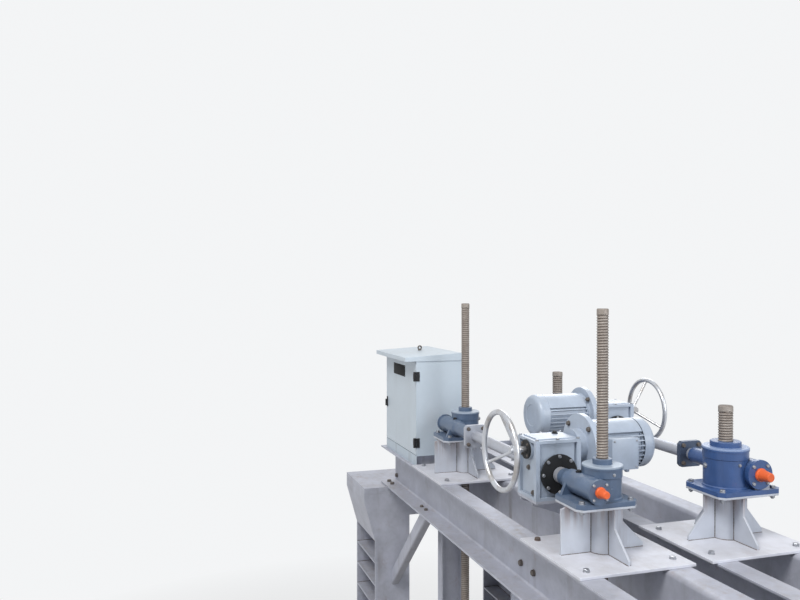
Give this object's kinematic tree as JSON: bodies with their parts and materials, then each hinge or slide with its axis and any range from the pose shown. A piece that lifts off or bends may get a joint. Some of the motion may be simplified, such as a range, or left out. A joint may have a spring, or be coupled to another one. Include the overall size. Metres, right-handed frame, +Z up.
{
  "type": "double sluice gate with screw hoists",
  "caption": "Sluice gate bay with lift gates in guides, channel beams on H-column piers, screw jacks, worm gearboxes, motors, handwheels and a control cabinet.",
  "frame": {"origin": "centre of the bay on the floor, between the two gates and between the two piers", "axes": "+X along the beams to the nearer pier, +Y across the beams from the front gate to the rear gate, +Z up"},
  "size_m": [5.1, 1.74, 4.217],
  "materials": {
    "galvanised_steel": "matt zinc coat, weathered",
    "gate_steel": "matt zinc coat, water-stained",
    "plate_steel": "matt pale grey paint",
    "jack_grey": "satin slate blue-grey paint",
    "jack_blue": "satin blue paint",
    "gear_grey": "satin pale blue-grey paint",
    "cover_black": "satin black paint",
    "cap_orange": "moulded, slightly faded",
    "wheel_steel": "polished by handling",
    "stem_steel": "turned, greased, brownish",
    "cabinet_paint": "satin powder coat",
    "seal_rubber": "matt"
  },
  "bodies": {
    "frame": {"beam_front_outer": "galvanised_steel", "beam_front_inner": "galvanised_steel", "beam_rear_inner": "galvanised_steel", "beam_rear_outer": "galvanised_steel", "pair_diaphragms": "galvanised_steel", "crosshead_near": "galvanised_steel", "crosshead_far": "galvanised_steel", "column_near_front": "galvanised_steel", "column_near_rear": "galvanised_steel", "column_far_front": "galvanised_steel", "column_far_rear": "galvanised_steel", "knee_braces": "galvanised_steel", "jack_plates_front": "plate_steel", "jack_plates_rear": "plate_steel", "pedestals_front": "plate_steel", "pedestals_rear": "plate_steel", "jacks_front": "jack_grey", "jacks_rear": "jack_blue", "shaft_caps": "cap_orange", "gearbox_front": "gear_grey", "gearbox_rear": "gear_grey", "gearbox_covers": "cover_black", "gearbox_shelf_front": "galvanised_steel", "gearbox_shelf_rear": "galvanised_steel", "motor_front": "gear_grey", "motor_rear": "gear_grey", "guides_front": "galvanised_steel", "guides_rear": "galvanised_steel", "guide_heads": "galvanised_steel", "sills": "galvanised_steel", "lintels": "galvanised_steel", "cabinet_plinth": "galvanised_steel", "cabinet_shell": "cabinet_paint", "cabinet_roof": "cabinet_paint", "cabinet_hinges": "cover_black"},
    "front_gate": {"gate_leaf_front": "gate_steel", "gate_seal_front": "seal_rubber", "stems_front": "stem_steel"},
    "rear_gate": {"gate_leaf_rear": "gate_steel", "gate_seal_rear": "seal_rubber", "stems_rear": "stem_steel"},
    "front_handwheel": {"handwheel_front": "wheel_steel"},
    "rear_handwheel": {"handwheel_rear": "wheel_steel"},
    "front_drive_shaft": {"drive_shaft_front": "wheel_steel"},
    "rear_drive_shaft": {"drive_shaft_rear": "wheel_steel"},
    "door": {"cabinet_door": "cabinet_paint", "door_knuckles": "cover_black"}
  },
  "joints": [
    {"name": "front_gate_lift", "type": "slide", "parent": "frame", "child": "front_gate", "axis": [0, 0, 1], "range_m": [-0.52, 0.48]},
    {"name": "rear_gate_lift", "type": "slide", "parent": "frame", "child": "rear_gate", "axis": [0, 0, 1], "range_m": [0, 1]},
    {"name": "front_handwheel_turn", "type": "hinge", "parent": "frame", "child": "front_handwheel", "pos_m": [0.536, -0.477, 3.454], "axis": [0, -1, 0], "continuous": true},
    {"name": "rear_handwheel_turn", "type": "hinge", "parent": "frame", "child": "rear_handwheel", "pos_m": [-0.37, 0.473, 3.472], "axis": [0, 1, 0], "continuous": true},
    {"name": "front_drive_shaft_turn", "type": "hinge", "parent": "frame", "child": "front_drive_shaft", "pos_m": [0, -0.477, 3.334], "axis": [1, 0, 0], "continuous": true},
    {"name": "rear_drive_shaft_turn", "type": "hinge", "parent": "frame", "child": "rear_drive_shaft", "pos_m": [0, 0.473, 3.352], "axis": [1, 0, 0], "continuous": true},
    {"name": "cabinet_door_swing", "type": "hinge", "parent": "frame", "child": "door", "pos_m": [-1.2105, -0.658, 3.418], "axis": [0, 0, 1], "range_deg": [0, 110]}
  ]
}
